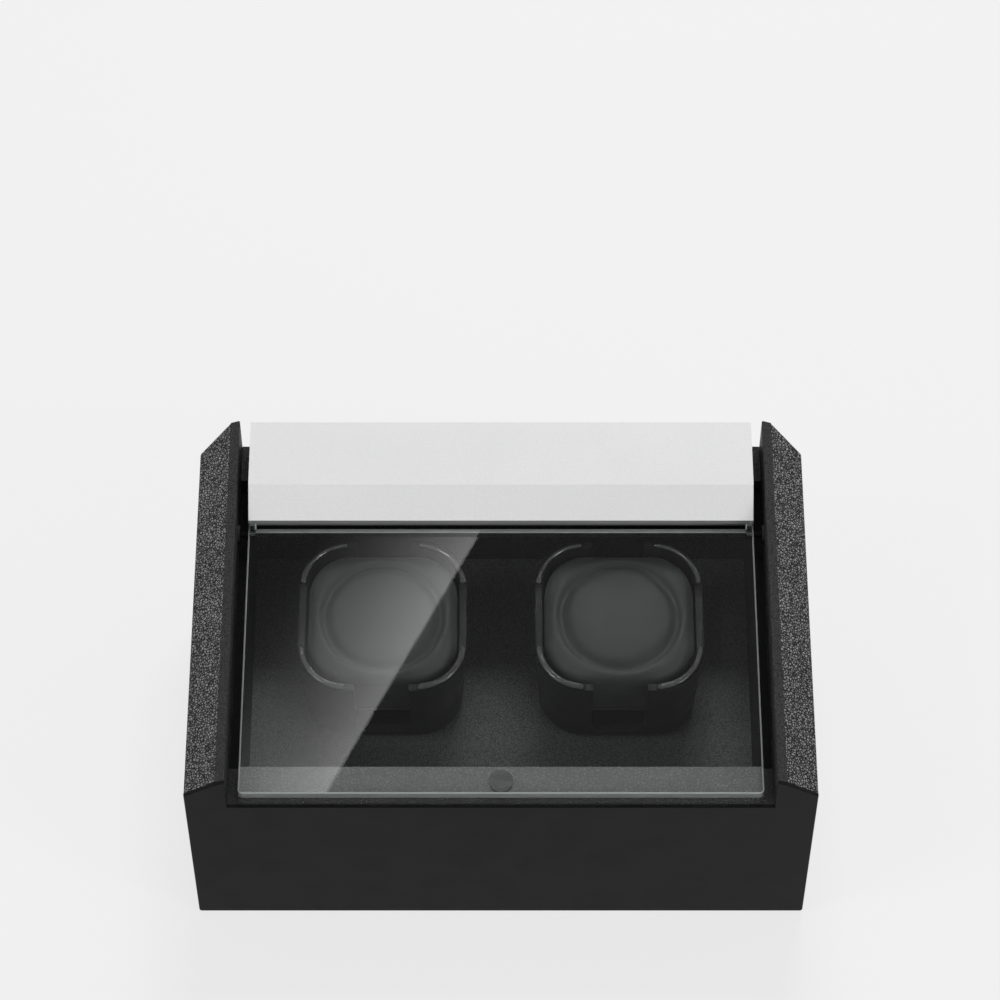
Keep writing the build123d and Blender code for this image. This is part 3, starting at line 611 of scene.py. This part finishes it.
# The sewn channel and its gathers, pressed into the filled cushion's top
def press_channel(piece):
    smooth = piece.modifiers.new("smooth", "SUBSURF")
    smooth.levels = 1
    settle(piece)
    for vertex in piece.data.vertices:
        place = vertex.co
        if place.z < CUSHION_EDGE - 1 * MM:
            continue
        off = (math.hypot(place.x, place.y) - CHANNEL_RADIUS) / MM
        sewn = math.exp(-((off / (SEWN_INNER if off < 0 else SEWN_OUTER)) ** 2))
        beside = math.exp(-((off / BESIDE_WIDTH) ** 2))
        round_channel = circle_point(GATHER_RATE, math.atan2(place.y, place.x)).to_3d()
        gather = noise.noise(round_channel) * GATHER_DEPTH
        depth = SEWN_DEPTH * sewn + BESIDE_DEPTH * beside + gather * beside * (1 - sewn)
        place.z -= depth * MM


def make_cushion(name):
    cushion = unfilled_cushion(name)
    inflate(cushion)
    press_channel(cushion)
    for face in cushion.data.polygons:
        face.use_smooth = True
    cushion.data.materials.append(MATERIALS["cushion_leather"])
    return cushion


# The two cushions are of one make; the right one sits the other way round
def add_cushions():
    left = make_cushion("cushion_soft_left")
    right = add_object("cushion_soft_right", left.data.copy())
    right.data.transform(Matrix.Rotation(math.pi, 4, "Z"))
    for name, cushion, side in (("left", left, -1), ("right", right, 1)):
        cushion.data.transform(cup_matrix(side))
        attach(cushion, f"cushion_{name}")
        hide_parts(f"cushion_{name}")


# Places of the screws in the bottom board, from the case's middle and front, in mm
SCREW_PLACES = [(x, y) for y in (9.9, 170.0) for x in (-85.0, -30.0, 30.0, 85.0)]
SCREW_RADIUS, SCREW_RISE, SCREW_RIM = 3.2 * MM, 0.6 * MM, 0.25 * MM
SCREW_POINTS = 32
# The cross recess lies inside a ring: half an arm's width, its reach, and its floor's
# distance from the board and share of the recess's size
RECESS_RING = 1.9 * MM
RECESS_HALF, RECESS_REACH = 0.45 * MM, RECESS_RING * 0.92
RECESS_FLOOR, RECESS_DRAFT = 0.15 * MM, 0.9


def loop_edges(mesh, loop):
    return [mesh.edges.get((first, after)) for first, after in zip(loop, loop[1:] + loop[:1])]


# A low screw head that faces down from the origin, with a cross recess
def screw_head():
    mesh = bmesh.new()
    turns = [turn * math.tau / SCREW_POINTS for turn in range(SCREW_POINTS)]
    rings = [
        [mesh.verts.new((*circle_point(radius, turn), -height)) for turn in turns]
        for radius, height in (
            (SCREW_RADIUS, 0.0),
            (SCREW_RADIUS, SCREW_RISE - SCREW_RIM),
            (SCREW_RADIUS - SCREW_RIM, SCREW_RISE),
            (RECESS_RING, SCREW_RISE),
        )
    ]
    join_rings(mesh, rings)
    arm = ((RECESS_REACH, -RECESS_HALF), (RECESS_REACH, RECESS_HALF), (RECESS_HALF, RECESS_HALF))
    cross = []
    for quarter in range(4):
        turned = Matrix.Rotation(quarter * math.pi / 2, 3, "Z")
        cross += [turned @ Vector((*corner, 0.0)) for corner in arm]
    top = [mesh.verts.new((place.x, place.y, -SCREW_RISE)) for place in cross]
    floor = [
        mesh.verts.new((place.x * RECESS_DRAFT, place.y * RECESS_DRAFT, -RECESS_FLOOR))
        for place in cross
    ]
    join_rings(mesh, [top, floor])
    mesh.faces.new(floor)
    edges = loop_edges(mesh, rings[-1]) + loop_edges(mesh, top)
    bmesh.ops.triangle_fill(mesh, edges=edges, use_beauty=True)
    return mesh


# The screws that hold the bottom board to the front and back walls
def add_screws():
    for count, (x, y) in enumerate(SCREW_PLACES, 1):
        mesh = screw_head()
        mesh.transform(Matrix.Translation((x * MM, y * MM - CASE_DEPTH / 2, FOOT_HEIGHT)))
        bmesh.ops.recalc_face_normals(mesh, faces=mesh.faces)
        screw = mesh_object(f"base_screw_{count}", mesh)
        screw.data.materials.append(MATERIALS["black_steel"])
        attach(screw, "case")


def flat_object(name, corners, material):
    data = bpy.data.meshes.new(name)
    data.from_pydata(corners, [], [tuple(range(len(corners)))])
    data.materials.append(material)
    made = add_object(name, data)
    return made


# The rays by which mirrors, panes and the camera see the floor and the world, which light
# the object less brightly than they look
SEEN_RAYS = ("Camera", "Glossy", "Transmission")
BACKDROP = 0.866
WORLD_LIGHT = 0.33
FLOOR_REACH = 6.0
# How much of what is seen of the floor is the backdrop's own tone
FLOOR_SHARE = 0.85


# A pale floor, partly lit and partly as pale as the backdrop, so that it keeps a soft shadow
def add_floor():
    made = Surface("floor", grey(0.86), 0.9, specular_ior_level=0.0)
    seen = made.joined("MAXIMUM", *(made.ray(kind) for kind in SEEN_RAYS))
    share = made.math("MULTIPLY", seen, FLOOR_SHARE)
    made.mix_shaders(share, made.shader.outputs["BSDF"], made.emission(grey(BACKDROP), 1.0))
    corners = [(-1, -1), (1, -1), (1, 1), (-1, 1)]
    corners = [(x * FLOOR_REACH, y * FLOOR_REACH, 0) for x, y in corners]
    flat_object("floor", corners, made.material)


# How slowly a card starts to brighten
CARD_CURVE = 2.7


# A card that the camera and the diffuse surfaces don't see. It is dull at one distance along
# a direction in its own plane and bright at another: each is a distance and a strength.
def add_card(name, corners, direction, dull, bright):
    made = Surface(name, grey(0), 1.0)
    place = made.axes()
    across = made.math("MULTIPLY", place["X"], direction[0])
    along = made.math("MULTIPLY", place["Y"], direction[1])
    share = made.node(
        "MapRange", Value=made.math("ADD", across, along), From_Min=dull[0], From_Max=bright[0]
    )
    curve = made.math("POWER", share.outputs["Result"], CARD_CURVE)
    rise = made.math("MULTIPLY", curve, bright[1] - dull[1])
    made.finish(made.emission(grey(1), made.math("ADD", rise, dull[1])))
    card = flat_object(name, corners, made.material)
    card.visible_camera = False
    card.visible_diffuse = False
    card.visible_shadow = False


CARD_HEIGHT, CARD_GAP = 1.4, 0.01
CARD_LEFT, CARD_RIGHT = -0.3, 0.3
CARD_NEAR, CARD_FAR = 0.25, 0.75
# Where the pale card's slanted edge meets the near and the far edge
SLANT_NEAR, SLANT_FAR = -0.2105, 0.0585


# The pane mirrors a dark card, and over its left part a pale one cut on the slant
def add_cards():
    dark = [(CARD_LEFT, CARD_NEAR), (CARD_RIGHT, CARD_NEAR)]
    dark += [(CARD_RIGHT, CARD_FAR), (CARD_LEFT, CARD_FAR)]
    pale = [(CARD_LEFT, CARD_NEAR), (SLANT_NEAR, CARD_NEAR)]
    pale += [(SLANT_FAR, CARD_FAR), (CARD_LEFT, CARD_FAR)]
    dark = [(x, y, CARD_HEIGHT) for x, y in dark]
    pale = [(x, y, CARD_HEIGHT - CARD_GAP) for x, y in pale]
    add_card("dark_card", dark, (1.0, 0.0), dull=(-0.3, 0.12), bright=(0.3, 0.16))
    add_card("pale_card", pale, (0.881, -0.4735), dull=(-0.45, 0.11), bright=(-0.3, 2.2))


def add_lamp(name, location, target, size, power):
    data = bpy.data.lights.new(name, "AREA")
    data.shape = "RECTANGLE"
    data.size, data.size_y = size
    data.energy = power
    lamp = add_object(name, data)
    lamp.location = location
    facing = Vector(target) - Vector(location)
    lamp.rotation_euler = facing.to_track_quat("-Z", "Y").to_euler()
    return lamp


# White light from all round: one strength lights the object, and another is what is seen
def add_world():
    world = bpy.data.worlds.new("studio")
    scene.world = world
    world.use_nodes = True
    tree = world.node_tree
    background = tree.nodes["Background"]
    background.inputs["Color"].default_value = (1, 1, 1, 1)
    path = tree.nodes.new("ShaderNodeLightPath")
    seen = path.outputs[f"Is {SEEN_RAYS[0]} Ray"]
    for kind in SEEN_RAYS[1:]:
        either = tree.nodes.new("ShaderNodeMath")
        either.operation = "MAXIMUM"
        tree.links.new(seen, either.inputs[0])
        tree.links.new(path.outputs[f"Is {kind} Ray"], either.inputs[1])
        seen = either.outputs[0]
    strength = tree.nodes.new("ShaderNodeMapRange")
    tree.links.new(seen, strength.inputs["Value"])
    strength.inputs["To Min"].default_value = WORLD_LIGHT
    strength.inputs["To Max"].default_value = BACKDROP
    tree.links.new(strength.outputs["Result"], background.inputs["Strength"])


# Soft lamps to the left, to the right, behind and overhead. The overhead one would glare on
# the bar's top, so no reflection shows it.
def add_lights():
    middle, top = (0, 0, 0.05), (0, 0, 0.1)
    add_lamp("key_lamp", (-1.2, -0.55, 1.5), middle, size=(0.5, 0.5), power=7)
    add_lamp("fill_lamp", (1.4, -0.9, 1.1), middle, size=(0.6, 0.6), power=9)
    add_lamp("back_lamp", (0.25, 1.6, 1.35), top, size=(1.0, 0.4), power=6)
    overhead = add_lamp("overhead_lamp", (0.12, 0.75, 1.7), middle, size=(0.6, 0.3), power=17)
    overhead.visible_glossy = False
    add_world()


def add_camera():
    data = bpy.data.cameras.new("camera")
    data.sensor_width = 36.0
    data.lens = 124.5
    camera = add_object("camera", data)
    camera.location = (-0.0004, -0.8481, 1.3647)
    camera.rotation_euler = (math.radians(35.8615), 0, 0)
    scene.camera = camera


dress_frame()
dress_glass()
add_cushions()
add_screws()
add_floor()
add_cards()
add_lights()
add_camera()
scene.view_settings.view_transform = "Standard"
